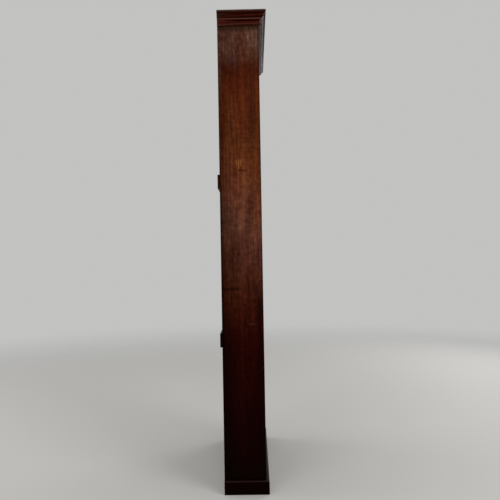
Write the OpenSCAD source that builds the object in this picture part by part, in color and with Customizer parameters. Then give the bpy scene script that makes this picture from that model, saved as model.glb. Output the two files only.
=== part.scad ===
// Tall open-front bookcase in solid wood, with a moulded cornice, a plinth,
// a boarded back held by two battens, one fixed shelf and five loose ones.
// Millimetres. Z is up, the open front faces -Y, and the origin is on the
// floor under the middle of the whole piece.

/* [Body] */
// Height from the floor to the top of the cornice
height = 2065; // [1600:5:2400]
// Width over the outside of the two sides
body_w = 658; // [480:2:900]
// Depth of the body, front strips included
body_d = 179; // [150:1:300]
// Thickness of a side board
side_t = 22; // [18:1:30]
// Thickness of the strip glued along the front edge of a side
strip_t = 21; // [18:1:26]

/* [Fixed boards] */
// Thickness of the top, bottom and fixed middle boards
board_t = 18; // [15:1:24]
// Height of the fixed middle shelf's upper face above the floor
fixed_shelf_z = 880; // [700:5:960]
// Depth of the housings that hold the fixed boards in the sides
housing_d = 7; // [4:0.5:10]
// Height of the gap that the plinth closes, under the bottom board
toe_h = 56; // [50:1:80]
// Thickness of the rails behind the plinth and the cornice
rail_t = 18; // [12:1:18]
// Height of the rail behind the cornice, under the top board
frieze_h = 50; // [40:1:80]

/* [Cornice] */
// Thickness of the dust board that covers the cornice
dust_board_t = 6; // [5:0.5:10]
// How far the cornice stands out from the body
cornice_out = 32; // [30:1:50]
// Height of the upright lip at the head of the cornice
lip_h = 4; // [3:0.5:8]
// Radius of each half of the ogee under the lip
ogee_r = 9; // [8:0.5:10]
// Height of the square fillet under the ogee
fillet_h = 5; // [3:0.5:8]
// Height of the plain face between the bead and the hollow under the fillet
plain_h = 7; // [6:0.5:12]
// How far that plain face stands out from the body
plain_out = 6; // [5:0.5:8]
// Radius of the bead at the foot of the cornice
bead_r = 5; // [3:0.5:5]
// How far the bead is sunk into the foot of the moulding
bead_sunk = 1; // [1:0.25:2]

/* [Plinth] */
// Height of the plinth board
plinth_h = 57; // [50:1:90]
// Thickness of the plinth board
plinth_t = 13; // [8:0.5:20]
// Width of the bevel along its top edge
plinth_bevel = 4; // [2:0.5:5]

/* [Back] */
// Thickness of the back boards
back_t = 9; // [8:0.5:12]
// Width of the rebate that holds the back boards in each side
rebate_w = 10; // [7:0.5:12]
// Gap left between two back boards for the wood to move
board_gap = 0.8; // [0.4:0.1:2]
// Thickness of the tongue on a back board
tongue_t = 3; // [2:0.5:3]
// Length of that tongue past the edge of its board
tongue_l = 5; // [3:0.5:6]
// Height of a back board's foot above the floor
back_foot = 4; // [2:0.5:10]
// Thickness of a back batten
batten_t = 9; // [8:0.5:20]
// Height of a back batten
batten_h = 61; // [40:1:80]
// Height of the lower batten's middle above the floor
lower_batten_z = 653; // [400:1:700]
// Height of the upper batten's middle above the floor
upper_batten_z = 1335; // [1100:1:1450]

/* [Loose shelves] */
// Thickness of a loose shelf
shelf_t = 18; // [15:1:22]
// How far a loose shelf lies behind the front of the body
shelf_setback = 8; // [4:1:14]
// Gap between a loose shelf and the side beside it
shelf_gap = 1; // [0.5:0.1:3]
// Gap between a loose shelf and the back boards
shelf_back_gap = 2; // [1:0.5:5]
// Distance from one peg hole up to the next
peg_pitch = 50; // [40:1:64]
// Height of the first peg hole above a fixed board
peg_first = 100; // [80:1:140]
// Distance of the peg holes from the strip and from the back boards
peg_edge = 16; // [14:1:40]

/* [Pegs] */
// Diameter of a peg's shank
peg_d = 6; // [5:0.5:8]
// Length of the shank inside the side
peg_in = 10; // [8:0.5:12]
// Diameter of the round nose that the shelf lies on
nose_d = 12; // [10:0.5:16]
// Length of that nose
nose_l = 10; // [8:0.5:14]
// Height of the nose's flat top above the middle of the shank
nose_flat = 4; // [3:0.25:4.75]

/* [Screws and pins] */
// Diameter of a batten screw's shank
screw_d = 3.5; // [3:0.1:4.5]
// Diameter of a batten screw's head
screw_head_d = 7; // [6:0.1:8]
// Length of a screw that goes into a side
screw_l = 30; // [24:1:40]
// Length of a screw that goes into a back board
short_screw_l = 15; // [12:0.5:16]
// Distance between the two screws at each end of a batten
screw_pair = 26; // [20:1:30]
// Width and depth of a screw's slot
slot_w = 0.9; // [0.6:0.1:1.2]
// Diameter of a pin's shank
pin_d = 2; // [1.6:0.1:2.4]
// Diameter of a pin's head
pin_head_d = 4; // [3.6:0.1:5]
// Thickness of a pin's head
pin_head_t = 1; // [0.6:0.1:1.4]
// Length of a pin
pin_l = 22; // [18:1:24]
// Distance of the end pins from the ends of the edge that they go into
pin_edge = 20; // [12:1:30]

/* [Glue blocks] */
// Width of the two glued faces of a block
block_side = 26; // [16:1:40]
// Length of a block
block_l = 80; // [40:5:120]
// Distance from the middle of one block to the next
block_step = 190; // [130:5:200]

/* [Clearances] */
// Gap around a screw, a pin or a peg in its hole
hole_play = 0.1; // [0.05:0.01:0.2]
// Depth left empty beyond the end of a screw, a pin or a peg
hole_end = 1; // [0.5:0.1:2]
// Gap around a tongue in its groove
tongue_play = 0.2; // [0.1:0.05:0.4]

/* [Hidden] */

$fn = 48;
eps = 0.01;
over = 5;

// Places across the width
outer_x = body_w / 2;
inner_x = outer_x - side_t;
rebate_x = inner_x + rebate_w;
cornice_x = outer_x + cornice_out;

// Places through the depth
front_y = -(cornice_out + body_d + batten_t) / 2 + cornice_out;
strip_y = front_y + strip_t;
body_back_y = front_y + body_d;
back_y = body_back_y - back_t;

// Places up the height
top_z = height - dust_board_t;
ceiling_z = top_z - board_t;
frieze_z = ceiling_z - frieze_h;
bottom_z = toe_h + board_t;
fillet_out = cornice_out - 2 * ogee_r;
cove_r = fillet_out - plain_out;
cornice_h = 2 * bead_r + plain_h + cove_r + fillet_h + 2 * ogee_r + lip_h;
cornice_z = top_z - cornice_h;

// Back boards
board_count = 6;
board_pitch = 2 * rebate_x / board_count;
groove_d = tongue_l + 2 * tongue_play;
batten_zs = [lower_batten_z, upper_batten_z];

// Peg rows: one set under the fixed shelf, one set above it
low_section = [bottom_z, fixed_shelf_z - board_t];
high_section = [fixed_shelf_z, frieze_z];
function row_count(s) = floor((s[1] - s[0] - 2 * peg_first) / peg_pitch) + 1;
function row_z(s, i) = s[0] + peg_first + i * peg_pitch;
function rows(s) = [for (i = [0 : row_count(s) - 1]) row_z(s, i)];
peg_zs = concat(rows(low_section), rows(high_section));
peg_ys = [strip_y + peg_edge, back_y - peg_edge];

// Each loose shelf takes the row nearest to an even spacing of its section
function even_row(s, k, n) =
    let (clear = (s[1] - s[0] - n * shelf_t) / (n + 1),
         want = (k * (clear + shelf_t) - shelf_t - peg_first) / peg_pitch)
    min(row_count(s) - 1, max(0, round(want)));
shelf_row_zs = [
    row_z(low_section, even_row(low_section, 1, 2)),
    row_z(low_section, even_row(low_section, 2, 2)),
    row_z(high_section, even_row(high_section, 1, 3)),
    row_z(high_section, even_row(high_section, 2, 3)),
    row_z(high_section, even_row(high_section, 3, 3))
];

// Screws: x, z and length of each one in a batten at height z
end_screw_x = outer_x - (side_t - rebate_w) / 2;
function board_x(k) = -rebate_x + (k - 0.5) * board_pitch;
function batten_screw_places(z) = concat(
    [for (sx = [-1, 1], sz = [-1, 1]) [sx * end_screw_x, z + sz * screw_pair / 2, screw_l]],
    [for (k = [1 : board_count]) [board_x(k), z, short_screw_l]]);

// Pins: two to each back board in the edge of each fixed board
pin_spread = board_pitch / 4;
back_pin_zs = [toe_h + board_t / 2, fixed_shelf_z - board_t / 2, top_z - board_t / 2];
function back_pin_xs(k) = [board_x(k) - pin_spread, board_x(k) + pin_spread];

// Pins: through the dust board into the sides and into the top board
dust_side_x = outer_x - (side_t - housing_d) / 2;
dust_side_ys = [strip_y + pin_edge, (strip_y + back_y) / 2, back_y - pin_edge];
dust_row_xs = [for (k = [1 : board_count]) board_x(k)];
dust_row_ys = [front_y + rail_t / 2, back_y - rail_t / 2];

// Glue blocks: three in each row
block_xs = [-block_step, 0, block_step];

case_red = [0.34, 0.13, 0.08];
shelf_red = [0.38, 0.16, 0.10];
edge_red = [0.42, 0.20, 0.13];
pine = [0.46, 0.33, 0.21];
brass = [0.72, 0.57, 0.28];
iron = [0.30, 0.29, 0.28];

module box(low, high) {
    translate(low) cube(high - low);
}

module right_of_left() {
    mirror([1, 0, 0]) children();
}

// Hole along Y, entering at y and running towards the front
module hole_y(x, y, z, d, depth) {
    translate([x, y + eps, z]) rotate([90, 0, 0]) cylinder(d = d, h = depth + eps);
}

module side_board() {
    difference() {
        box([-outer_x, strip_y, 0], [-inner_x, body_back_y, top_z]);
        // Housings for the bottom, the fixed shelf and the top
        for (z = [toe_h, fixed_shelf_z - board_t])
            box([-inner_x - housing_d, strip_y - over, z], [-inner_x + over, back_y, z + board_t]);
        box([-inner_x - housing_d, strip_y - over, ceiling_z], [-inner_x + over, back_y, top_z + over]);
        // Rebate for the back boards
        box([-rebate_x, back_y, -over], [-inner_x + over, body_back_y + over, top_z + over]);
        // Two rows of blind holes for the pegs
        for (z = peg_zs, y = peg_ys)
            translate([-inner_x - peg_in - hole_end, y, z]) rotate([0, 90, 0])
                cylinder(d = peg_d + 2 * hole_play, h = peg_in + hole_end + over, $fn = 32);
        // Holes for the batten screws and the dust board's pins
        for (bz = batten_zs, s = batten_screw_places(bz))
            if (s[0] < -rebate_x)
                hole_y(s[0], body_back_y, s[1], screw_d + 2 * hole_play, screw_l - batten_t + hole_end);
        for (y = dust_side_ys)
            translate([-dust_side_x, y, top_z - (pin_l - dust_board_t) - hole_end])
                cylinder(d = pin_d + 2 * hole_play, h = pin_l);
    }
}

module side_left() {
    color(case_red) side_board();
}

module side_right() {
    color(case_red) right_of_left() side_board();
}

module front_strip() {
    box([-outer_x, front_y, 0], [-inner_x, strip_y, top_z]);
}

module front_strip_left() {
    color(edge_red) front_strip();
}

module front_strip_right() {
    color(edge_red) right_of_left() front_strip();
}

// Fixed board from z up, housed in the sides and notched round the front
// strips, drilled in its back edge for the back boards' pins
module housed_board(z) {
    difference() {
        union() {
            box([-inner_x, front_y, z], [inner_x, back_y, z + board_t]);
            box([-inner_x - housing_d, strip_y, z], [inner_x + housing_d, back_y, z + board_t]);
        }
        for (k = [1 : board_count], x = back_pin_xs(k))
            hole_y(x, back_y, z + board_t / 2, pin_d + 2 * hole_play, pin_l - back_t + hole_end);
    }
}

module bottom_board() {
    color(shelf_red) housed_board(toe_h);
}

module fixed_shelf() {
    color(shelf_red) housed_board(fixed_shelf_z - board_t);
}

module top_board() {
    color(shelf_red) difference() {
        housed_board(ceiling_z);
        for (x = dust_row_xs, y = dust_row_ys)
            translate([x, y, top_z - (pin_l - dust_board_t) - hole_end])
                cylinder(d = pin_d + 2 * hole_play, h = pin_l);
    }
}

module frieze_rail() {
    color(case_red) box([-inner_x, front_y, frieze_z], [inner_x, front_y + rail_t, ceiling_z]);
}

// Three-cornered glue block in the angle under a board and behind a rail
module glue_block(x, z) {
    translate([x - block_l / 2, front_y + rail_t, z]) rotate([90, 0, 90])
        linear_extrude(block_l) polygon([[0, 0], [block_side, 0], [0, -block_side]]);
}

module frieze_blocks() {
    color(pine) for (x = block_xs) glue_block(x, ceiling_z);
}

module plinth_blocks() {
    color(pine) for (x = block_xs) glue_block(x, toe_h);
}

// Outline of the cornice, standing out from the body along x, up along y:
// from the foot a bead, a plain face, a hollow, a fillet, an ogee and a lip
module cornice_outline() {
    cove_z = 2 * bead_r + plain_h;
    ogee_z = cove_z + cove_r + fillet_h;
    ogee_middle_z = ogee_z + ogee_r;
    difference() {
        union() {
            square([bead_r - bead_sunk, cornice_h]);
            translate([bead_r - bead_sunk, bead_r]) circle(r = bead_r);
            translate([0, 2 * bead_r]) square([plain_out, cornice_h - 2 * bead_r]);
            translate([0, cove_z]) square([fillet_out, cornice_h - cove_z]);
            intersection() {
                translate([fillet_out, ogee_middle_z]) circle(r = ogee_r);
                translate([fillet_out, ogee_z]) square(ogee_r);
            }
            translate([0, ogee_middle_z]) square([cornice_out, ogee_r + lip_h]);
        }
        translate([-bead_r, 0]) square([bead_r, 2 * bead_r]);
        translate([fillet_out, cove_z]) circle(r = cove_r);
        translate([cornice_out, ogee_middle_z]) circle(r = ogee_r);
    }
}

module plinth_outline() {
    polygon([
        [0, 0], [plinth_t, 0], [plinth_t, plinth_h - plinth_bevel],
        [plinth_t - plinth_bevel, plinth_h], [0, plinth_h]
    ]);
}

// The child outline run along the front and mitred at both corners
module front_moulding(out, z, h) {
    intersection() {
        translate([-outer_x - out, front_y, z]) rotate([90, 0, 90])
            linear_extrude(2 * (outer_x + out)) mirror([1, 0]) children();
        translate([0, 0, z]) linear_extrude(h) polygon([
            [-outer_x, front_y], [-outer_x - out, front_y - out],
            [outer_x + out, front_y - out], [outer_x, front_y]
        ]);
    }
}

// The child outline run along the left side and mitred at its front corner
module side_moulding(out, z, h) {
    intersection() {
        translate([-outer_x, body_back_y, z]) rotate([90, 0, 0])
            linear_extrude(body_d + out) mirror([1, 0]) children();
        translate([0, 0, z]) linear_extrude(h) polygon([
            [-outer_x, front_y], [-outer_x - out, front_y - out],
            [-outer_x - out, body_back_y], [-outer_x, body_back_y]
        ]);
    }
}

module cornice_front() {
    color(case_red) front_moulding(cornice_out, cornice_z, cornice_h) cornice_outline();
}

module cornice_return_left() {
    color(case_red) side_moulding(cornice_out, cornice_z, cornice_h) cornice_outline();
}

module cornice_return_right() {
    color(case_red) right_of_left() side_moulding(cornice_out, cornice_z, cornice_h) cornice_outline();
}

module plinth_front() {
    color(case_red) front_moulding(plinth_t, 0, plinth_h) plinth_outline();
}

module plinth_return_left() {
    color(case_red) side_moulding(plinth_t, 0, plinth_h) plinth_outline();
}

module plinth_return_right() {
    color(case_red) right_of_left() side_moulding(plinth_t, 0, plinth_h) plinth_outline();
}

module plinth_rail_front() {
    color(case_red) box([-inner_x, front_y, 0], [inner_x, front_y + rail_t, toe_h]);
}

module plinth_rail_back() {
    color(pine) box([-inner_x, back_y - rail_t, 0], [inner_x, back_y, toe_h]);
}

function dust_pin_places() = concat(
    [for (sx = [-1, 1], y = dust_side_ys) [sx * dust_side_x, y]],
    [for (x = dust_row_xs, y = dust_row_ys) [x, y]]);

module dust_board() {
    color(case_red) difference() {
        box([-cornice_x, front_y - cornice_out, top_z], [cornice_x, body_back_y, height]);
        for (p = dust_pin_places()) translate([p[0], p[1], 0]) {
            translate([0, 0, top_z - over])
                cylinder(d = pin_d + 2 * hole_play, h = dust_board_t + 2 * over);
            translate([0, 0, height - pin_head_t - hole_play])
                cylinder(d = pin_head_d + 2 * hole_play, h = over);
        }
    }
}

// Pin with its head's face at the origin and its shank running down
module pin() {
    translate([0, 0, -pin_head_t]) cylinder(d = pin_head_d, h = pin_head_t);
    translate([0, 0, -pin_l]) cylinder(d = pin_d, h = pin_l - pin_head_t / 2);
}

module dust_board_pins() {
    color(iron) for (p = dust_pin_places()) translate([p[0], p[1], height]) pin();
}

// One board of the back, tongued on its right edge and grooved on its left
module back_board(k) {
    left = -rebate_x + (k - 1) * board_pitch + (k == 1 ? 0 : board_gap / 2);
    right = -rebate_x + k * board_pitch - (k == board_count ? 0 : board_gap / 2);
    middle_y = (back_y + body_back_y) / 2;
    groove = tongue_t + 2 * tongue_play;
    color(pine) difference() {
        union() {
            box([left, back_y, back_foot], [right, body_back_y, top_z]);
            if (k < board_count)
                box([right - eps, middle_y - tongue_t / 2, back_foot],
                    [right + tongue_l, middle_y + tongue_t / 2, top_z]);
        }
        if (k > 1)
            box([left - over, middle_y - groove / 2, back_foot - over],
                [left + groove_d - board_gap, middle_y + groove / 2, top_z + over]);
        for (bz = batten_zs)
            hole_y(board_x(k), body_back_y, bz, screw_d + 2 * hole_play, back_t + over);
        for (z = back_pin_zs, x = back_pin_xs(k)) {
            hole_y(x, body_back_y, z, pin_d + 2 * hole_play, back_t + over);
            hole_y(x, body_back_y, z, pin_head_d + 2 * hole_play, pin_head_t + hole_play);
        }
    }
}

module back_board_1() { back_board(1); }
module back_board_2() { back_board(2); }
module back_board_3() { back_board(3); }
module back_board_4() { back_board(4); }
module back_board_5() { back_board(5); }
module back_board_6() { back_board(6); }

module back_pins() {
    color(iron) for (k = [1 : board_count], z = back_pin_zs, x = back_pin_xs(k))
        translate([x, body_back_y, z]) rotate([-90, 0, 0]) pin();
}

// Cone of a countersunk head, its wide face at the origin, running down
module head_cone(play) {
    head_h = (screw_head_d - screw_d) / 2;
    translate([0, 0, -head_h])
        cylinder(d1 = screw_d + 2 * play, d2 = screw_head_d + 2 * play, h = head_h);
}

module back_batten(z) {
    color(pine) difference() {
        box([-outer_x, body_back_y, z - batten_h / 2], [outer_x, body_back_y + batten_t, z + batten_h / 2]);
        for (s = batten_screw_places(z)) {
            hole_y(s[0], body_back_y + batten_t + over, s[1], screw_d + 2 * hole_play, batten_t + 2 * over);
            translate([s[0], body_back_y + batten_t, s[1]]) rotate([-90, 0, 0]) {
                head_cone(hole_play);
                cylinder(d = screw_head_d + 2 * hole_play, h = over);
            }
        }
    }
}

module back_batten_lower() {
    back_batten(lower_batten_z);
}

module back_batten_upper() {
    back_batten(upper_batten_z);
}

module batten_screw(length) {
    difference() {
        union() {
            head_cone(0);
            translate([0, 0, -length]) cylinder(d = screw_d, h = length - slot_w);
        }
        translate([-screw_head_d, -slot_w / 2, -slot_w]) cube([2 * screw_head_d, slot_w, 2 * slot_w]);
    }
}

module batten_screws() {
    color(iron) for (bz = batten_zs, s = batten_screw_places(bz))
        translate([s[0], body_back_y + batten_t, s[1]]) rotate([-90, 0, 0]) batten_screw(s[2]);
}

// Loose shelf lying on the flat tops of its four pegs
module shelf(n) {
    under_z = shelf_row_zs[n - 1] + nose_flat;
    color(shelf_red)
        box([-inner_x + shelf_gap, front_y + shelf_setback, under_z],
            [inner_x - shelf_gap, back_y - shelf_back_gap, under_z + shelf_t]);
}

module shelf_1() { shelf(1); }
module shelf_2() { shelf(2); }
module shelf_3() { shelf(3); }
module shelf_4() { shelf(4); }
module shelf_5() { shelf(5); }

// Peg in the left side: a shank in its hole and a nose with a flat top
module peg() {
    rotate([0, -90, 0]) cylinder(d = peg_d, h = peg_in);
    difference() {
        rotate([0, 90, 0]) cylinder(d = nose_d, h = nose_l);
        translate([-over, -nose_d, nose_flat]) cube([nose_l + 2 * over, 2 * nose_d, nose_d]);
    }
}

module shelf_pegs(n) {
    color(brass) for (y = peg_ys) {
        translate([-inner_x, y, shelf_row_zs[n - 1]]) peg();
        right_of_left() translate([-inner_x, y, shelf_row_zs[n - 1]]) peg();
    }
}

module shelf_pegs_1() { shelf_pegs(1); }
module shelf_pegs_2() { shelf_pegs(2); }
module shelf_pegs_3() { shelf_pegs(3); }
module shelf_pegs_4() { shelf_pegs(4); }
module shelf_pegs_5() { shelf_pegs(5); }

side_left();
side_right();
front_strip_left();
front_strip_right();
top_board();
bottom_board();
fixed_shelf();
frieze_rail();
frieze_blocks();
cornice_front();
cornice_return_left();
cornice_return_right();
dust_board();
dust_board_pins();
plinth_front();
plinth_return_left();
plinth_return_right();
plinth_rail_front();
plinth_rail_back();
plinth_blocks();
back_board_1();
back_board_2();
back_board_3();
back_board_4();
back_board_5();
back_board_6();
back_batten_lower();
back_batten_upper();
batten_screws();
back_pins();
shelf_1();
shelf_2();
shelf_3();
shelf_4();
shelf_5();
shelf_pegs_1();
shelf_pegs_2();
shelf_pegs_3();
shelf_pegs_4();
shelf_pegs_5();
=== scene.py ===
import math

import bmesh
import bpy
from mathutils import Matrix, Quaternion, Vector


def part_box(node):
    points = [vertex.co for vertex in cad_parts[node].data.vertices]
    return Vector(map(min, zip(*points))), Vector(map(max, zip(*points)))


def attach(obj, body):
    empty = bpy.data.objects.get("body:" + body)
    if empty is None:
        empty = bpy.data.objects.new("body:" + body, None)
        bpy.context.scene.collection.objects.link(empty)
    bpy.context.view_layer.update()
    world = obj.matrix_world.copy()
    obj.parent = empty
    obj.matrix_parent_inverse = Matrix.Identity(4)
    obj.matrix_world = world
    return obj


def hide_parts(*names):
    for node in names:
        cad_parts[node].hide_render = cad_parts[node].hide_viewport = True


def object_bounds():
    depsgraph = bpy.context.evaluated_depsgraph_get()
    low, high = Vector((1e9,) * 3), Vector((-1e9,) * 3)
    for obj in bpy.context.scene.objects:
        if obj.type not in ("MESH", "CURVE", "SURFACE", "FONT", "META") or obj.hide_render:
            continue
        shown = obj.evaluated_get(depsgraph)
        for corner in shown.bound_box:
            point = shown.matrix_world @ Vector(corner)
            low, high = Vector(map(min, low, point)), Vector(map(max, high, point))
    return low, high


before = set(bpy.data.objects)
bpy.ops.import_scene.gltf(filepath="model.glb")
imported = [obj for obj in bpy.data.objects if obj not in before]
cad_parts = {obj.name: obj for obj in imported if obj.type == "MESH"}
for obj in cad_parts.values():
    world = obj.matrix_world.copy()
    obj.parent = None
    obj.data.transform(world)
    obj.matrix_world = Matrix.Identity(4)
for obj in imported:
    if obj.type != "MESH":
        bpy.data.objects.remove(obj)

cad_box = [list(corner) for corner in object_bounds()]

# Camera
# It stands square on to the left end, a metre up and a little towards the open front. It is
# tipped up and turned to the back by under a degree each, and leans over by one degree.
picture_px = 500
focal_px = 506.8
sensor_mm = 36
end_distance = 2.1442
eye_height = 1.004
eye_y = -0.0440
tilt_up = math.radians(0.905)
turn_back = math.radians(0.51)
lean = math.radians(-1.01)

camera_data = bpy.data.cameras.new("camera")
camera_data.sensor_width = sensor_mm
camera_data.lens = sensor_mm * focal_px / picture_px
camera = bpy.data.objects.new("camera", camera_data)
bpy.context.scene.collection.objects.link(camera)
camera.location = (cad_box[0][0] - end_distance, eye_y, eye_height)
looking = Vector((math.cos(turn_back), math.sin(turn_back), math.tan(tilt_up)))
camera.rotation_mode = "QUATERNION"
camera.rotation_quaternion = looking.to_track_quat("-Z", "Y") @ Quaternion((0, 0, 1), lean)
bpy.context.scene.camera = camera

# Floor and light
# A plain pale floor that fades into a plain pale grey surround, lit by large soft lamps, the
# strongest of them high up in front and to the left.
surround = (0.54, 0.54, 0.535)
floor_colour = (0.50, 0.49, 0.47)
floor_size = 16
floor_cells = 20
floor_rough = 0.7
floor_gloss = 0.2
floor_kept = 1.6
floor_gone = 5.5

bpy.ops.object.select_all(action="DESELECT")
bpy.ops.mesh.primitive_grid_add(x_subdivisions=floor_cells, y_subdivisions=floor_cells, size=floor_size)
floor = bpy.context.object
floor.name = "floor"
floor_finish = bpy.data.materials.new("floor_paint")
floor_finish.use_nodes = True
floor_tree = floor_finish.node_tree
floor_shader = floor_tree.nodes["Principled BSDF"]
floor_shader.inputs["Base Color"].default_value = (*floor_colour, 1)
floor_shader.inputs["Roughness"].default_value = floor_rough
floor_shader.inputs["Specular IOR Level"].default_value = floor_gloss
floor_place = floor_tree.nodes.new("ShaderNodeTexCoord")
floor_reach = floor_tree.nodes.new("ShaderNodeVectorMath")
floor_reach.operation = "LENGTH"
floor_fade = floor_tree.nodes.new("ShaderNodeMapRange")
floor_fade.interpolation_type = "SMOOTHSTEP"
floor_fade.inputs["From Min"].default_value = floor_kept
floor_fade.inputs["From Max"].default_value = floor_gone
floor_fade.inputs["To Min"].default_value = 1
floor_fade.inputs["To Max"].default_value = 0
floor_tree.links.new(floor_place.outputs["Object"], floor_reach.inputs[0])
floor_tree.links.new(floor_reach.outputs["Value"], floor_fade.inputs["Value"])
floor_tree.links.new(floor_fade.outputs["Result"], floor_shader.inputs["Alpha"])
floor.data.materials.append(floor_finish)

world = bpy.data.worlds.new("surround")
world.use_nodes = True
world.node_tree.nodes["Background"].inputs["Color"].default_value = (*surround, 1)
world.node_tree.nodes["Background"].inputs["Strength"].default_value = 1
bpy.context.scene.world = world
bpy.context.scene.view_settings.view_transform = "Standard"


def soft_lamp(name, place, aim, width, watts):
    """A square soft box at place, turned to shine at aim."""
    data = bpy.data.lights.new(name, "AREA")
    data.size = width
    data.energy = watts
    lamp = bpy.data.objects.new(name, data)
    bpy.context.scene.collection.objects.link(lamp)
    lamp.location = place
    lamp.rotation_mode = "QUATERNION"
    lamp.rotation_quaternion = (Vector(aim) - Vector(place)).to_track_quat("-Z", "Y")


soft_lamp("front_left_lamp", (-2.4, -2.6, 2.7), (0, 0, 1.3), 1.8, 60)
soft_lamp("left_lamp", (-2.6, 1.6, 2.6), (-0.3, 0, 1.9), 1.6, 20)
soft_lamp("high_left_lamp", (-2.7, -0.15, 2.95), (-0.3, 0, 1.9), 0.7, 14)
soft_lamp("front_right_lamp", (2.6, -2.8, 1.8), (0, 0, 1.0), 2.0, 45)
soft_lamp("back_lamp", (0.6, 3.2, 2.2), (0, 0, 1.0), 2.0, 35)

# Side boards
# Each side is one long mahogany board, planed, grooved for the fixed boards and drilled
# with two rows of holes for the shelf pegs, then French polished and darkened with age. Its
# outside's colour also holds painted shade, darkest low down and at its edges.
side_arris = 0.0012
unworn_back = Vector((0, 0.02, 0))
# Corners this near are one corner, and an edge this far from the glued joint is clear of it
one_place = 1e-5
clear_of_joint = 1e-4
# Faces that turn less than the first are one face, an edge that turns more than the second is
# an arris, and one that turns less than the third is shaded smooth
flat_under = math.radians(0.5)
arris_over = math.radians(30)
smooth_under = math.radians(50)
outer_x = -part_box("side_left")[0].x
strip_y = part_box("side_left")[0].y
back_edge_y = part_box("side_left")[1].y
front_edge_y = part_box("front_strip_left")[0].y


class Finish:
    """A material in the making, with one short call for each kind of node that it uses."""

    def __init__(self, name):
        self.material = bpy.data.materials.new(name)
        self.material.use_nodes = True
        self.tree = self.material.node_tree
        self.shader = self.tree.nodes["Principled BSDF"]

    def node(self, kind, **settings):
        made = self.tree.nodes.new(kind)
        for key, value in settings.items():
            setattr(made, key, value)
        return made

    def feed(self, socket, value):
        if isinstance(value, bpy.types.NodeSocket):
            self.tree.links.new(value, socket)
        else:
            socket.default_value = value

    def math(self, operation, a, b=0.0, clamp=False):
        made = self.node("ShaderNodeMath", operation=operation, use_clamp=clamp)
        self.feed(made.inputs[0], a)
        self.feed(made.inputs[1], b)
        return made.outputs[0]

    def vector(self, operation, a, b=(0, 0, 0), result="Vector"):
        made = self.node("ShaderNodeVectorMath", operation=operation)
        self.feed(made.inputs[0], a)
        self.feed(made.inputs[1], b)
        return made.outputs[result]

    def parts(self, vector):
        made = self.node("ShaderNodeSeparateXYZ")
        self.feed(made.inputs[0], vector)
        return list(made.outputs)

    def fade(self, value, start, end, low=0.0, high=1.0):
        """value from start to end, as a smooth step from low to high"""
        made = self.node("ShaderNodeMapRange", interpolation_type="SMOOTHSTEP")
        names = ("Value", "From Min", "From Max", "To Min", "To Max")
        for name, number in zip(names, (value, start, end, low, high)):
            self.feed(made.inputs[name], number)
        return made.outputs["Result"]

    def noise(self, place, scale, detail=2.0, rough=0.5):
        """Noise whose cells are one part in scale of a metre along each axis"""
        made = self.node("ShaderNodeTexNoise")
        self.feed(made.inputs["Vector"], self.vector("MULTIPLY", place, scale))
        made.inputs["Scale"].default_value = 1
        made.inputs["Detail"].default_value = detail
        made.inputs["Roughness"].default_value = rough
        return made.outputs["Fac"]

    def mix(self, share, a, b, blend="MIX"):
        made = self.node("ShaderNodeMix", data_type="RGBA", blend_type=blend)
        self.feed(made.inputs[0], share)
        self.feed(made.inputs[6], a if isinstance(a, bpy.types.NodeSocket) else (*a, 1))
        self.feed(made.inputs[7], b if isinstance(b, bpy.types.NodeSocket) else (*b, 1))
        return made.outputs[2]

    def ramp(self, value, stops):
        """A colour for value, from a list of (position, colour)"""
        made = self.node("ShaderNodeValToRGB")
        band = made.color_ramp.elements
        while len(band) < len(stops):
            band.new(1)
        for element, (position, colour) in zip(band, stops):
            element.position = position
            element.color = (*colour, 1)
        self.feed(made.inputs["Fac"], value)
        return made.outputs["Color"]


def screen(*rgb):
    """A colour given as it shows on a screen, from 0 to 255, as linear light"""
    return tuple(((c / 255 + 0.055) / 1.055) ** 2.4 if c > 10 else c / 255 / 12.92 for c in rgb)


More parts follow.
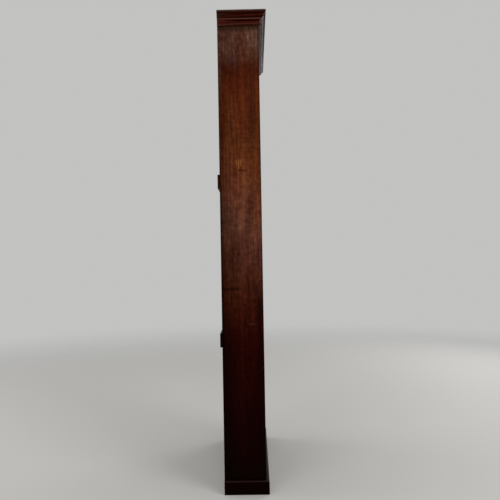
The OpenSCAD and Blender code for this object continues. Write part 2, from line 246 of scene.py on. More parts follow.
class Timber(Finish):
    """Wood with its grain along one axis, in the solid, so that faces and end grain agree"""

    # Noise cells to a metre, twice across the grain and once along it
    wander_cells = (5, 5, 1.1)
    ribbon_cells = (60, 60, 1.6)
    streak_cells = (330, 330, 6)
    cloud_cells = (9, 9, 3.2)
    mottle_cells = (85, 85, 34)
    band_cells = (30, 30, 70)
    pore_cells = (1900, 1900, 90)
    ragged_cells = (160, 160, 22)
    rubbed_cells = (9, 9, 7)
    mark_cells = (180, 180, 60)
    dust_cells = (14, 14, 14)
    ring_turns = 900
    ring_wander = 0.05
    grain_tints = ((0.10, (0.42, 0.34, 0.32)), (0.50, (1, 1, 1)), (0.92, (1.9, 2.1, 1.9)))
    pore_colour = (0.004, 0.0015, 0.001)
    pore_share = 0.5
    relief_depth = 0.0006

    def __init__(self, name, box, grain, tone, pith=(0.05, 0.17), figure=1.0, seed=0.0,
                 rings=0.07, mottle=1.0):
        super().__init__(name)
        self.low, self.high = (Vector(corner) for corner in box)
        self.place = self.node("ShaderNodeTexCoord").outputs["Object"]
        local = self.parts(self.vector("SUBTRACT", self.place, (self.low + self.high) / 2))
        turned = self.node("ShaderNodeCombineXYZ")
        for socket, axis in zip(turned.inputs, {"X": "YZX", "Y": "XZY", "Z": "YXZ"}[grain]):
            self.feed(socket, local["XYZ".index(axis)])
        self.along = self.vector("ADD", turned.outputs[0], (seed, 1.7 * seed, 3.1 * seed))

        # Growth rings round a pith outside the board, wandering along the length
        wander = self.noise(self.along, self.wander_cells, 2, 0.55)
        ring_place = self.vector("MULTIPLY", self.vector("ADD", turned.outputs[0], (*pith, 0)), (1, 1, 0))
        radius = self.vector("LENGTH", ring_place, result="Value")
        radius = self.math("ADD", radius, self.math("MULTIPLY", wander, self.ring_wander))
        ring = self.math("SINE", self.math("MULTIPLY", radius, self.ring_turns))
        shade = self.math("MULTIPLY", ring, rings * figure)

        # Ribbons of interlocked grain, streaks, clouds, mottle and bands, and short open pores
        ribbon = self.noise(self.along, self.ribbon_cells, 2, 0.5)
        streak = self.noise(self.along, self.streak_cells, 3, 0.62)
        cloud = self.noise(self.along, self.cloud_cells, 3, 0.55)
        curl = self.noise(self.along, self.mottle_cells, 3, 0.6)
        band = self.noise(self.along, self.band_cells, 2, 0.5)
        layers = ((ribbon, 0.50), (streak, 0.70), (cloud, 0.80), (curl, 0.95 * mottle), (band, 0.55 * mottle))
        for layer, weight in layers:
            centred = self.math("SUBTRACT", layer, 0.5)
            shade = self.math("ADD", shade, self.math("MULTIPLY", centred, weight * figure))
        shade = self.math("ADD", shade, 0.5, clamp=True)
        tint = self.ramp(shade, self.grain_tints)
        pores = self.fade(self.noise(self.along, self.pore_cells, 1, 0.4), 0.60, 0.74)
        self.colour = self.mix(1.0, tone(self) if callable(tone) else tone, tint, "MULTIPLY")
        self.colour = self.mix(self.math("MULTIPLY", pores, self.pore_share), self.colour, self.pore_colour)
        self.rough = self.fade(cloud, 0.30, 0.75, 0.30, 0.46)
        raised = self.math("MULTIPLY", streak, 0.35)
        self.height = self.math("SUBTRACT", raised, self.math("MULTIPLY", pores, 0.6))

    def worn_edges(self, colour, reach, share, box=None):
        """Polish rubbed thin along the arrises of a box, in broken lengths"""
        low, high = box or (self.low, self.high)
        half = (high - low) / 2
        from_middle = self.vector("ABSOLUTE", self.vector("SUBTRACT", self.place, (low + high) / 2))
        x, y, z = self.parts(self.vector("SUBTRACT", half, from_middle))
        least = self.math("MINIMUM", self.math("MINIMUM", x, y), z)
        most = self.math("MAXIMUM", self.math("MAXIMUM", x, y), z)
        total = self.math("ADD", self.math("ADD", x, y), z)
        distance = self.math("SUBTRACT", self.math("SUBTRACT", total, least), most)
        ragged = self.noise(self.along, self.ragged_cells, 3, 0.6)
        distance = self.math("ADD", distance, self.math("MULTIPLY", ragged, reach))
        lengths = self.fade(self.noise(self.along, self.rubbed_cells, 2, 0.5), 0.38, 0.62, 0.15, share)
        rubbed = self.math("MULTIPLY", self.fade(distance, reach * 0.35, reach, 1, 0), lengths)
        self.colour = self.mix(rubbed, self.colour, colour)
        self.rough = self.math("ADD", self.rough, self.math("MULTIPLY", rubbed, 0.15))

    def line(self, distance, width, colour, share):
        """A thin line where a distance is nothing, such as along a glued joint"""
        near = self.fade(self.math("ABSOLUTE", distance), width * 0.3, width, share, 0)
        self.colour = self.mix(near, self.colour, colour)

    def around(self, place, size, share, ragged=0.5, clear=0.45):
        """How much of a mark lies here, share at its middle and nothing past its size"""
        offset = self.vector("DIVIDE", self.vector("SUBTRACT", self.place, place), size)
        reach = self.vector("LENGTH", offset, result="Value")
        uneven = self.noise(self.place, self.mark_cells, 3, 0.6)
        shift = self.math("MULTIPLY", self.math("SUBTRACT", uneven, 0.5), 2 * ragged)
        reach = self.math("ADD", reach, shift)
        return self.fade(reach, clear, 1.0, share, 0)

    def spot(self, place, size, colour, share, ragged=0.5):
        """A mark of its own on the surface, soft and uneven at its edge"""
        self.colour = self.mix(self.around(place, size, share, ragged), self.colour, colour)

    def dust(self, share, colour=screen(150, 142, 132)):
        """Grey dust settled on what faces up"""
        up = self.fade(self.parts(self.node("ShaderNodeNewGeometry").outputs["Normal"])[2], 0.7, 0.98)
        drift = self.noise(self.place, self.dust_cells, 4, 0.6)
        settled = self.math("MULTIPLY", up, self.fade(drift, 0.25, 0.8, 0.3 * share, share))
        self.colour = self.mix(settled, self.colour, colour)
        self.rough = self.math("ADD", self.rough, self.math("MULTIPLY", settled, 0.5))

    def close(self, relief=0.25, specular=0.05, shine=(1, 0.30, 0.22)):
        """Joins the layers to the shader and returns the material"""
        self.feed(self.shader.inputs["Base Color"], self.colour)
        self.feed(self.shader.inputs["Roughness"], self.rough)
        self.shader.inputs["Specular IOR Level"].default_value = specular
        self.shader.inputs["Specular Tint"].default_value = (*shine, 1)
        bump = self.node("ShaderNodeBump")
        bump.inputs["Strength"].default_value = relief
        bump.inputs["Distance"].default_value = self.relief_depth
        self.feed(bump.inputs["Height"], self.height)
        self.feed(self.shader.inputs["Normal"], bump.outputs["Normal"])
        return self.material


def softened(node, name, arris, wanted, rounds=2):
    """A new piece from the node's merged mesh, with its sharp outer edges rounded off where
    wanted(a, b, shared) says so, for an edge from a to b in so many planes of its box"""
    bpy.ops.object.select_all(action="DESELECT")
    piece = bpy.data.objects.new(name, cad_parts[node].data.copy())
    piece.data.name = name
    bpy.context.scene.collection.objects.link(piece)
    piece.select_set(True)
    bpy.context.view_layer.objects.active = piece
    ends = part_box(node)
    bpy.ops.object.mode_set(mode="EDIT")
    bpy.ops.mesh.select_mode(type="EDGE")
    bpy.ops.mesh.select_all(action="SELECT")
    bpy.ops.mesh.remove_doubles(threshold=one_place)
    bpy.ops.mesh.dissolve_limited(angle_limit=flat_under)
    bpy.ops.mesh.select_all(action="DESELECT")
    edit = bmesh.from_edit_mesh(piece.data)
    for edge in edit.edges:
        a, b = (v.co for v in edge.verts)
        shared = sum(abs(a[i] - end[i]) < one_place and abs(b[i] - end[i]) < one_place
                     for i in range(3) for end in ends)
        sharp = len(edge.link_faces) == 2 and edge.is_convex and edge.calc_face_angle() > arris_over
        edge.select = sharp and wanted(a, b, shared)
    edit.select_flush_mode()
    bmesh.update_edit_mesh(piece.data)
    bpy.ops.mesh.bevel(offset=arris, segments=rounds, affect="EDGES")
    bpy.ops.object.mode_set(mode="OBJECT")
    return piece


def of_box(a, b, shared):
    """Whether an edge is one of its board's own twelve"""
    return shared >= 2


def finish_piece(piece, material, body, slot, *nodes):
    """Smooths the rounded arrises, gives the piece its finish and sets it on its body"""
    bpy.ops.object.select_all(action="DESELECT")
    piece.select_set(True)
    bpy.context.view_layer.objects.active = piece
    bpy.ops.object.shade_smooth_by_angle(angle=smooth_under)
    bpy.ops.object.modifier_add(type="WEIGHTED_NORMAL")
    piece.modifiers[-1].keep_sharp = True
    bpy.ops.object.modifier_apply(modifier=piece.modifiers[-1].name)
    piece.data.materials.clear()
    piece.data.materials.append(material)
    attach(piece, body)
    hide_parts(*nodes)


# The colour up the side, from the floor to the cornice, polish and painted shade together, so
# nearly black low down: the height and the colour there
polish_and_shade_up_side = (
    (0.10, screen(5, 1, 0)),
    (0.31, screen(17, 1, 1)),
    (0.58, screen(28, 3, 1)),
    (0.66, screen(31, 4, 2)),
    (0.76, screen(48, 14, 6)),
    (0.88, screen(58, 26, 11)),
    (0.98, screen(68, 34, 24)),
    (1.12, screen(82, 48, 35)),
    (1.26, screen(78, 41, 25)),
    (1.42, screen(83, 42, 20)),
    (1.58, screen(74, 33, 11)),
    (1.72, screen(67, 26, 7)),
    (1.82, screen(50, 15, 3)),
    (1.92, screen(56, 28, 16)))
height_drift = 0.22
drift_cells = (9, 9, 1.5)
tinge_cells = (17, 17, 5)
tinges = ((0.38, (1.03, 0.94, 1.10)), (0.62, (0.99, 1.00, 0.92)))

# Patches darker or paler than the ramp, among them painted sheen near the head and painted
# shade at the front and back edges: y, z, reach in y and in z, colour and share
sheen_shade_and_tone_patches = (
    (-0.045, 1.60, 0.055, 0.26, screen(46, 18, 9), 0.75),
    (-0.045, 1.24, 0.060, 0.13, screen(88, 48, 35), 0.75),
    (-0.060, 1.40, 0.040, 0.14, screen(66, 30, 14), 0.7),
    (-0.055, 1.94, 0.045, 0.09, screen(66, 45, 34), 0.75),
    (0.060, 1.92, 0.045, 0.10, screen(74, 47, 36), 0.8),
    (0.035, 1.86, 0.035, 0.05, screen(58, 34, 28), 0.6),
    (0.100, 1.84, 0.022, 0.20, screen(56, 38, 30), 0.7),
    (-0.070, 1.16, 0.014, 0.12, screen(76, 44, 36), 0.6),
    (-0.062, 0.80, 0.030, 0.09, screen(26, 8, 5), 0.5),
    (0.090, 1.55, 0.016, 0.16, screen(60, 22, 14), 0.6),
    (0.070, 1.18, 0.050, 0.12, screen(54, 29, 22), 0.6),
    (-0.048, 1.00, 0.036, 0.11, screen(46, 22, 14), 0.65),
    (0.040, 1.60, 0.020, 0.13, screen(80, 42, 24), 0.7),
    (-0.056, 1.26, 0.008, 0.22, screen(100, 38, 18), 0.45))
patch_depth = 0.05

# Painted sheen at the head, in pale flecks
sheen_fleck_colour = screen(98, 78, 68)
sheen_fleck_cells = (90, 90, 28)
sheen_fleck_share = 0.26
sheen_from, sheen_full = 1.82, 1.93

# How far shade reaches over the side, and the light left there: a low and a high height, then
# the light at each of them
behind_reach, behind_light = 0.085, (0.8, 1.4, 0.50, 0.72)
back_edge_reach, back_edge_light = 0.021, (1.15, 1.75, 0.12, 0.95)
front_edge_reach, front_edge_light = 0.008, 0.35
low_front_reach, low_front_light = 0.055, (0.74, 0.92, 0.5, 1)
cornice_shade_from, cornice_shade_to = 0.009, 0.030
cornice_shade_colour = screen(30, 19, 10)
cornice_shade_share = 0.75

# The inside's warmer brown begins within the thickness of the side
inside_colour = screen(76, 36, 22)
outside_to, inside_from = 0.010, 0.021


def aged_polish_and_shade(timber):
    """The outside's colour, partly painted shade, nearly black low down and lighter above, with
    its patches, its flecks of painted sheen and the painted shade at its edges and under the
    cornice, and the warmer brown of the inside"""
    x, y, z = timber.parts(timber.place)
    drift = timber.noise(timber.place, drift_cells)
    level = timber.math("MULTIPLY", timber.math("SUBTRACT", drift, 0.5), height_drift)
    level = timber.math("ADD", z, level)
    height = cad_box[1][2]
    stops = [(at / height, colour) for at, colour in polish_and_shade_up_side]
    # The colour by height is polish and painted shade together
    outside = timber.ramp(timber.math("DIVIDE", level, height), stops)
    # Patches of tone, some of them painted sheen and some painted shade
    for y_middle, z_middle, y_reach, z_reach, colour, share in sheen_shade_and_tone_patches:
        size = (patch_depth, y_reach, z_reach)
        patch = timber.around((-outer_x, y_middle, z_middle), size, share, ragged=0.3, clear=0.1)
        outside = timber.mix(patch, outside, colour)
    tinge = timber.ramp(timber.noise(timber.place, tinge_cells), tinges)
    outside = timber.mix(1.0, outside, tinge, "MULTIPLY")
    # Painted sheen: pale flecks over the head of the side
    sheen_amount = timber.fade(z, sheen_from, sheen_full, 0, sheen_fleck_share)
    flecks = timber.fade(timber.noise(timber.place, sheen_fleck_cells, 3, 0.6), 0.45, 0.65, 0, sheen_amount)
    outside = timber.mix(flecks, outside, sheen_fleck_colour)

    # Shade over the back half, at the two edges, and low down behind the front edge
    from_back = timber.math("SUBTRACT", back_edge_y, y)
    from_front = timber.math("SUBTRACT", y, front_edge_y)
    behind = timber.fade(y, 0, behind_reach, 1, timber.fade(z, *behind_light))
    at_back = timber.fade(from_back, 0, back_edge_reach, timber.fade(z, *back_edge_light), 1)
    at_front = timber.fade(from_front, 0, front_edge_reach, front_edge_light, 1)
    low_light = timber.fade(z, *low_front_light)
    low_front = timber.fade(from_front, front_edge_reach, low_front_reach, low_light, 1)
    light = timber.math("MULTIPLY", at_back, timber.math("MULTIPLY", at_front, low_front))
    light = timber.math("MULTIPLY", behind, light)
    shaded = timber.node("ShaderNodeCombineXYZ")
    for socket in shaded.inputs:
        timber.feed(socket, light)
    outside = timber.mix(1.0, outside, shaded.outputs[0], "MULTIPLY")
    below = timber.math("SUBTRACT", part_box("cornice_front")[0].z, z)
    under = timber.fade(below, cornice_shade_from, cornice_shade_to, cornice_shade_share, 0)
    outside = timber.mix(under, outside, cornice_shade_colour)
    across = timber.math("ABSOLUTE", x)
    inward = timber.fade(across, outer_x - inside_from, outer_x - outside_to, 1, 0)
    return timber.mix(inward, outside, inside_colour)


def both_boxes(*nodes):
    """The box round several nodes"""
    lows, highs = zip(*(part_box(node) for node in nodes))
    return Vector([min(ends) for ends in zip(*lows)]), Vector([max(ends) for ends in zip(*highs)])


# Marks on the left side: pale scratches, their y, z, half length and share, and other dark
# and pale marks, a long dark line across the side among them, their y, z, reach in y and in z,
# colour, share and raggedness
mark_depth = 0.01
scratch_half_width = 0.0040
scratch_colour = screen(138, 84, 40)
scratches = (
    (0.009, 1.412, 0.019, 0.5),
    (0.018, 1.409, 0.026, 0.6),
    (0.028, 1.418, 0.015, 0.45))
side_marks = (
    (0.004, 1.382, 0.026, 0.0065, screen(36, 13, 6), 0.7, 0.5),
    (0.058, 0.872, 0.060, 0.0090, screen(24, 6, 3), 0.75, 0.7),
    (-0.062, 0.866, 0.046, 0.034, screen(36, 16, 17), 0.6, 0.5),
    (-0.030, 0.721, 0.024, 0.009, screen(74, 42, 34), 0.28, 0.8))

side_wear, side_wear_reach, side_wear_share = screen(120, 62, 34), 0.003, 0.3
joint_width, joint_colour, joint_share = 0.0009, screen(16, 6, 4), 0.8

for side in ("left", "right"):
    node = "side_" + side
    board = softened(node, node + "_board", side_arris,
                     lambda a, b, shared: of_box(a, b, shared) and max(a.y, b.y) > strip_y + clear_of_joint)
    wood = Timber(node + "_wood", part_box(node), "Z", aged_polish_and_shade, seed=1.3 if side == "left" else 4.9)
    low, high = both_boxes(node, "front_strip_" + side)
    wood.worn_edges(side_wear, side_wear_reach, side_wear_share, (low, high + unworn_back))
    joint = wood.math("SUBTRACT", wood.parts(wood.place)[1], strip_y)
    wood.line(joint, joint_width, joint_colour, joint_share)
    if side == "left":
        for y, z, half_length, share in scratches:
            size = (mark_depth, scratch_half_width, half_length)
            wood.spot((-outer_x, y, z), size, scratch_colour, share, ragged=0.6)
        for y, z, y_reach, z_reach, colour, share, ragged in side_marks:
            wood.spot((-outer_x, y, z), (mark_depth, y_reach, z_reach), colour, share, ragged)
    finish_piece(board, wood.close(), "carcase", "case_mahogany", node)

# Front strips
# A square strip of the same wood glued down the front edge of each side, hiding the ends of
# the housings. It has the side's colour and painted shade, darkest along its front, and its
# arrises are faintly rubbed in places.
strip_arris = 0.0016
strip_rounds = 3
strip_wear = screen(120, 58, 34)

for side in ("left", "right"):
    node = "front_strip_" + side
    strip = softened(node, node + "_edge", strip_arris,
                     lambda a, b, shared: of_box(a, b, shared) and min(a.y, b.y) < strip_y - clear_of_joint,
                     strip_rounds)
    wood = Timber(node + "_wood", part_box(node), "Z", aged_polish_and_shade, seed=2.2 if side == "left" else 6.4)
    low, high = both_boxes(node, "side_" + side)
    wood.worn_edges(strip_wear, side_wear_reach, side_wear_share, (low, high + unworn_back))
    finish_piece(strip, wood.close(), "carcase", "edge_mahogany", node)

# Fixed boards
# The top, the bottom and the middle shelf are housed in the sides and notched round the
# front strips. Books have rubbed their edges paler, and a little dust lies on them.
board_arris = 0.0014
board_pith = (0.02, 0.11)
board_wear, board_wear_reach, board_wear_share = screen(132, 80, 48), 0.004, 0.6
shelf_tone = screen(84, 43, 27)
shelf_dust = 0.16

for number, node in enumerate(("bottom_board", "fixed_shelf", "top_board")):
    board = softened(node, node + "_piece", board_arris, of_box)
    wood = Timber(node + "_wood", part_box(node), "X", shelf_tone, board_pith, seed=7.7 + number)
    wood.worn_edges(board_wear, board_wear_reach, board_wear_share)
    wood.dust(shelf_dust)
    finish_piece(board, wood.close(), "carcase", "shelf_mahogany", node)

# Rail and blocks behind the cornice
# The rail closes the front over the top board's edge and backs the cornice, and rough pine
# blocks, brown with old glue and dust, are glued in the angle behind it.
rail_arris = 0.001
frieze_rail_tone = screen(60, 27, 17)
rail_wear, rail_wear_reach, rail_wear_share = screen(112, 60, 36), 0.003, 0.5
pine_tone = screen(128, 92, 58)
pine_figure = 0.7
pine_rings = 0.15
pine_mottle = 0.4
pine_relief = 0.5
block_dust = 0.4

rail = softened("frieze_rail", "frieze_rail_piece", rail_arris, of_box)
wood = Timber("frieze_rail_wood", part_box("frieze_rail"), "X", frieze_rail_tone, seed=12.1)
wood.worn_edges(rail_wear, rail_wear_reach, rail_wear_share)
finish_piece(rail, wood.close(), "carcase", "case_mahogany", "frieze_rail")


def glue_blocks(node, seed):
    """A row of rough pine blocks, chamfered all round"""
    blocks = softened(node, node + "_piece", rail_arris, lambda a, b, shared: True, rounds=1)
    wood = Timber(node + "_pine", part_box(node), "X", pine_tone, figure=pine_figure, seed=seed,
                  rings=pine_rings, mottle=pine_mottle)
    wood.dust(block_dust)
    finish_piece(blocks, wood.close(pine_relief), "carcase", "back_pine", node)


glue_blocks("frieze_blocks", 13.4)

# Cornice
# Three lengths of the same moulding, a bead, a hollow, a fillet, an ogee and a lip, planed
# by hand, mitred at the front corners and glued round the head of the case.
moulding_arris = 0.0009
shortest_run = 0.1
moulding_wear, moulding_wear_reach = screen(112, 50, 34), 0.0035
mitre_width, mitre_colour, mitre_share = 0.0011, screen(12, 5, 3), 0.85
cornice_tone = screen(52, 14, 5)
cornice_wear = 0.35

# Bands of painted light and shade along the mouldings: painted highlights on the foot, the bead
# and the fillet, a lighter red painted into the hollow against its shade, and painted shade in
# the quirk and under the lip: height over the foot, width, colour, share
cornice_light_and_shade_bands = (
    (0.0075, 0.0040, screen(74, 42, 34), 0.7),
    (0.0270, 0.0036, screen(84, 52, 43), 0.7),
    (0.0305, 0.0016, screen(20, 5, 2), 0.45),
    (0.0205, 0.0045, screen(84, 16, 6), 0.7),
    (0.0010, 0.0030, screen(76, 44, 28), 0.7),
    (0.0500, 0.0040, screen(24, 12, 6), 0.6))

# The front length has kept its gloss and has plainer figure
front_figure = 0.45
front_rough = 0.31
front_relief = 0.012
front_gloss = 0.40
front_shine = (0.91, 0.98, 1)


def moulded(group, length, grain, tone, seed, worn, figure=1.0):
    """One mitred length of the cornice or the plinth, its long arrises softened and worn, with
    a dark line at its mitre"""
    node = f"{group}_{length}"
    run = softened(node, node + "_piece", moulding_arris, lambda a, b, shared: (a - b).length > shortest_run)
    wood = Timber(node + "_wood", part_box(node), grain, tone, figure=figure, seed=seed)
    round_case = both_boxes(group + "_front", group + "_return_left")
    wood.worn_edges(moulding_wear, moulding_wear_reach, worn, round_case)
    x, y, z = wood.parts(wood.place)
    past_side = wood.math("SUBTRACT", wood.math("ABSOLUTE", x), outer_x)
    behind_corner = wood.math("SUBTRACT", y, corner_y)
    wood.line(wood.math("ADD", past_side, behind_corner), mitre_width, mitre_colour, mitre_share)
    return node, run, wood


corner_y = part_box("frieze_rail")[0].y
lengths = (("return_left", "Y"), ("front", "X"), ("return_right", "Y"))
for number, (length, grain) in enumerate(lengths):
    figure = front_figure if length == "front" else 1.0
    node, run, wood = moulded("cornice", length, grain, cornice_tone, 15.3 + number, cornice_wear, figure)
    x, y, z = wood.parts(wood.place)
    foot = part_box(node)[0].z
    # Painted highlights and painted shade in bands along the length
    for height, width, colour, share in cornice_light_and_shade_bands:
        wood.line(wood.math("SUBTRACT", z, foot + height), width, colour, share)
    if length == "front":
        wood.rough = front_rough
        finish = wood.close(front_relief, front_gloss, front_shine)
    else:
        finish = wood.close()
    finish_piece(run, finish, "carcase", "moulding_mahogany", node)

# Dust board
# A thin unpolished board laid over the top board and the cornice and pinned down, grey with
# the dust of years.
dust_arris = 0.0008
bare_tone = screen(50, 38, 29)
thick_dust = 0.7

board = softened("dust_board", "dust_board_piece", dust_arris, of_box)
wood = Timber("dust_board_bare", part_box("dust_board"), "X", bare_tone, pith=(0.03, 0.3), seed=18.8)
wood.dust(thick_dust)
finish_piece(board, wood.close(relief=0.5, specular=0.08), "carcase", "dust_board_wood", "dust_board")

# Plinth
# A plain board with a chamfered top edge, mitred round the foot of the case, over a front
# and a back rail and pine blocks. It is almost black, partly painted shade, with a painted
# highlight along its top edge.
# Almost black, partly painted shade, as low down on the sides
plinth_tone = screen(6, 0, 0)
plinth_wear = 0.15
edge_below_top, edge_width, edge_highlight_colour, edge_highlight_share = 0.0015, 0.0023, screen(50, 38, 34), 0.45
front_rail_tone, back_rail_tone = screen(50, 22, 14), screen(104, 70, 44)

for number, (length, grain) in enumerate(lengths):
    node, run, wood = moulded("plinth", length, grain, plinth_tone, 20.9 + number, plinth_wear)
    # A painted highlight along the chamfered top edge
    edge_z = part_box(node)[1].z - edge_below_top
    wood.line(wood.math("SUBTRACT", wood.parts(wood.place)[2], edge_z), edge_width, edge_highlight_colour, edge_highlight_share)
    finish_piece(run, wood.close(), "carcase", "moulding_mahogany", node)

rail = softened("plinth_rail_front", "plinth_rail_front_piece", rail_arris, of_box)
wood = Timber("plinth_rail_front_wood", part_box("plinth_rail_front"), "X", front_rail_tone, seed=24.2)
finish_piece(rail, wood.close(), "carcase", "case_mahogany", "plinth_rail_front")
rail = softened("plinth_rail_back", "plinth_rail_back_piece", rail_arris, of_box)
wood = Timber("plinth_rail_back_pine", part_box("plinth_rail_back"), "X", back_rail_tone,
              figure=pine_figure, seed=25.6, rings=pine_rings, mottle=pine_mottle)
finish_piece(rail, wood.close(pine_relief, specular=0.08), "carcase", "back_pine", "plinth_rail_back")
glue_blocks("plinth_blocks", 26.5)

# Back boards
# Six tongued pine boards, sawn flat and stained brown, stand in the rebate of the sides and
# are pinned to the fixed boards. Each has taken the stain a little differently.
back_arris = 0.0010
upright_over = 1
back_pith = (0.075, 0.012)
back_figure = 0.85
back_relief = 0.4
back_tones = (
    screen(66, 38, 24),
    screen(58, 32, 20),
    screen(70, 40, 24),
    screen(60, 34, 21),
    screen(64, 36, 23),
    screen(56, 31, 19))

for number, tone in enumerate(back_tones):
    node = f"back_board_{number + 1}"
    board = softened(node, node + "_piece", back_arris, lambda a, b, shared: abs(a.z - b.z) > upright_over)
    wood = Timber(node + "_pine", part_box(node), "Z", tone, back_pith, back_figure, 28.3 + 1.3 * number,
                  pine_rings, pine_mottle)
    finish_piece(board, wood.close(back_relief, specular=0.10), "carcase", "back_pine", node)

# Battens
# Two lengths of dark stained wood screwed across the back. Their ends are sawn off flush
# with the sides and painted nearly black, partly painted shade, the lower one darker than the upper.
batten_arris = 0.0015
batten_pith = (0.02, 0.06)
batten_tone = screen(34, 17, 12)
batten_wear, batten_wear_reach, batten_wear_share = screen(84, 52, 36), 0.003, 0.3
batten_ends = (("back_batten_lower", screen(7, 2, 1)), ("back_batten_upper", screen(30, 13, 9)))
end_from, end_full, end_share = 0.004, 0.001, 0.9

for number, (node, end_colour) in enumerate(batten_ends):
    batten = softened(node, node + "_piece", batten_arris, of_box)
    wood = Timber(node + "_wood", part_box(node), "X", batten_tone, batten_pith, seed=37.1 + number)
    wood.worn_edges(batten_wear, batten_wear_reach, batten_wear_share)
    # The ends darkened, partly with painted shade
    across = wood.math("ABSOLUTE", wood.parts(wood.place)[0])
    at_end = wood.fade(across, outer_x - end_from, outer_x - end_full, 0, end_share)
    wood.colour = wood.mix(at_end, wood.colour, end_colour)
    finish_piece(batten, wood.close(relief=0.4), "carcase", "batten_wood", node)

# Screws and pins
# Slotted iron screws hold the battens, and short iron pins hold the back boards and the dust
# board. They keep their CAD shapes, and have gone dull and brown with rust.
iron_tones = (
    ("batten_screws", screen(86, 74, 64)),
    ("back_pins", screen(66, 52, 44)),
    ("dust_board_pins", screen(70, 56, 47)))
rust_colour = screen(62, 34, 22)
rust_cells = (420, 420, 420)

for node, tone in iron_tones:
    iron = Finish(node + "_iron")
    place = iron.node("ShaderNodeTexCoord").outputs["Object"]
    rust = iron.noise(place, rust_cells, 3, 0.6)
    colour = iron.mix(iron.fade(rust, 0.42, 0.62), tone, rust_colour)
    iron.feed(iron.shader.inputs["Base Color"], colour)
    iron.feed(iron.shader.inputs["Metallic"], iron.fade(rust, 0.42, 0.62, 0.9, 0.1))
    iron.feed(iron.shader.inputs["Roughness"], iron.fade(rust, 0.3, 0.7, 0.38, 0.75))
    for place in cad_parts[node].material_slots:
        place.material = iron.material

# Shelves
# Five loose mahogany shelves with rounded front edges lie on the pegs. Books have rubbed
# their edges paler, and a little dust lies on them.
shelf_round = 0.003
shelf_arris = 0.0012
corner_over = math.radians(60)
shelf_wear, shelf_wear_reach, shelf_wear_share = screen(136, 82, 50), 0.005, 0.7

for number in range(1, 6):
    node = f"shelf_{number}"
    low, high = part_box(node)
    bpy.ops.object.select_all(action="DESELECT")
    bpy.ops.mesh.primitive_cube_add(size=1, location=(0, 0, 0))
    shelf = bpy.context.object
    shelf.name = shelf.data.name = node + "_board"
    bpy.ops.object.mode_set(mode="EDIT")
    bpy.ops.transform.resize(value=high - low)
    bpy.ops.transform.translate(value=(low + high) / 2)
    bpy.ops.mesh.select_mode(type="EDGE")
    for front, size, rounds in ((True, shelf_round, 4), (False, shelf_arris, 2)):
        bpy.ops.mesh.select_all(action="DESELECT")
        edit = bmesh.from_edit_mesh(shelf.data)
        for edge in edit.edges:
            a, b = (v.co for v in edge.verts)
            long_front = max(a.y, b.y) < low.y + one_place and abs(a.x - b.x) > shortest_run
            sharp = edge.calc_face_angle() > corner_over
            edge.select = sharp and (long_front if front else not long_front)
        edit.select_flush_mode()
        bmesh.update_edit_mesh(shelf.data)
        bpy.ops.mesh.bevel(offset=size, segments=rounds, affect="EDGES")
    bpy.ops.object.mode_set(mode="OBJECT")
    pith = (0.03, 0.09 + 0.02 * number)
    wood = Timber(node + "_wood", (low, high), "X", shelf_tone, pith, seed=40.7 + 2.3 * number)
    wood.worn_edges(shelf_wear, shelf_wear_reach, shelf_wear_share)
    wood.dust(shelf_dust)
    finish_piece(shelf, wood.close(), node, "shelf_mahogany", node)

# Shelf pegs
# Turned brass pegs, four to a shelf, each a shank in its hole and a nose with a flat filed
# on it for the shelf to lie on.
peg_shank_r = 0.003
peg_shank_l = 0.010
peg_nose_r = 0.006
peg_nose_l = 0.010
peg_flat = 0.004
peg_arris = 0.0006
nose_sides, shank_sides = 48, 32
brass_cells = (260, 260, 260)
brass_bright, brass_dull = screen(196, 150, 84), screen(92, 62, 34)
peg_rows_y = (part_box("shelf_pegs_1")[0].y + peg_nose_r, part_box("shelf_pegs_1")[1].y - peg_nose_r)
inner_x = -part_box("side_left")[1].x

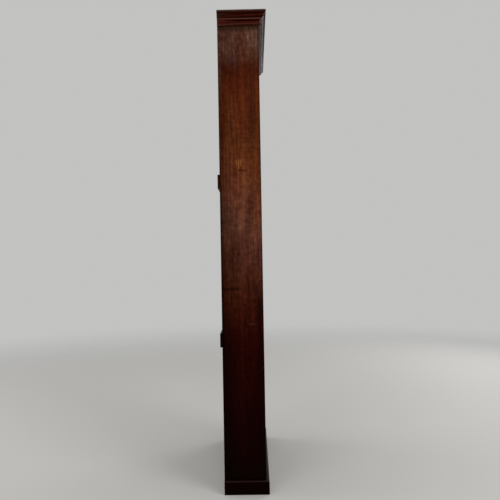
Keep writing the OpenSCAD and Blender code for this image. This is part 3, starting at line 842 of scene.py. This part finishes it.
bpy.ops.object.select_all(action="DESELECT")
bpy.ops.mesh.primitive_cylinder_add(vertices=nose_sides, radius=peg_nose_r, depth=peg_nose_l,
                                    location=(0, 0, 0), rotation=(0, math.pi / 2, 0))
peg = bpy.context.object
bpy.ops.object.transform_apply(location=False, rotation=True, scale=False)
bpy.ops.object.mode_set(mode="EDIT")
bpy.ops.transform.translate(value=(peg_nose_l / 2, 0, 0))
bpy.ops.mesh.bisect(plane_co=(0, 0, peg_flat), plane_no=(0, 0, 1), use_fill=True, clear_outer=True)
bpy.ops.mesh.select_mode(type="EDGE")
bpy.ops.mesh.select_all(action="DESELECT")
edit = bmesh.from_edit_mesh(peg.data)
for edge in edit.edges:
    edge.select = all(v.co.x > peg_nose_l - one_place for v in edge.verts)
edit.select_flush_mode()
bmesh.update_edit_mesh(peg.data)
bpy.ops.mesh.bevel(offset=peg_arris, segments=3, affect="EDGES")
bpy.ops.mesh.select_all(action="DESELECT")
bpy.ops.mesh.primitive_cylinder_add(vertices=shank_sides, radius=peg_shank_r, depth=peg_shank_l,
                                    location=(-peg_shank_l / 2, 0, 0), rotation=(0, math.pi / 2, 0))
bpy.ops.object.mode_set(mode="OBJECT")

brass = Finish("aged_brass")
place = brass.node("ShaderNodeTexCoord").outputs["Object"]
tarnish = brass.fade(brass.noise(place, brass_cells, 4, 0.6), 0.38, 0.66)
brass.feed(brass.shader.inputs["Base Color"], brass.mix(tarnish, brass_bright, brass_dull))
brass.feed(brass.shader.inputs["Metallic"], 1.0)
brass.feed(brass.shader.inputs["Roughness"], brass.fade(tarnish, 0, 1, 0.26, 0.52))

for number in range(1, 6):
    node = f"shelf_pegs_{number}"
    axis_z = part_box(f"shelf_{number}")[0].z - peg_flat
    bpy.ops.object.select_all(action="DESELECT")
    for turn in (0, math.pi):
        for y in peg_rows_y:
            copy = bpy.data.objects.new(node + "_turned", peg.data.copy())
            bpy.context.scene.collection.objects.link(copy)
            moved = Matrix.Translation((-inner_x * math.cos(turn), y, axis_z))
            copy.data.transform(moved @ Matrix.Rotation(turn, 4, "Z"))
            copy.select_set(True)
            bpy.context.view_layer.objects.active = copy
    bpy.ops.object.join()
    pegs = bpy.context.object
    pegs.name = pegs.data.name = node + "_turned"
    finish_piece(pegs, brass.material, "carcase", "peg_brass", node)
bpy.data.objects.remove(peg)
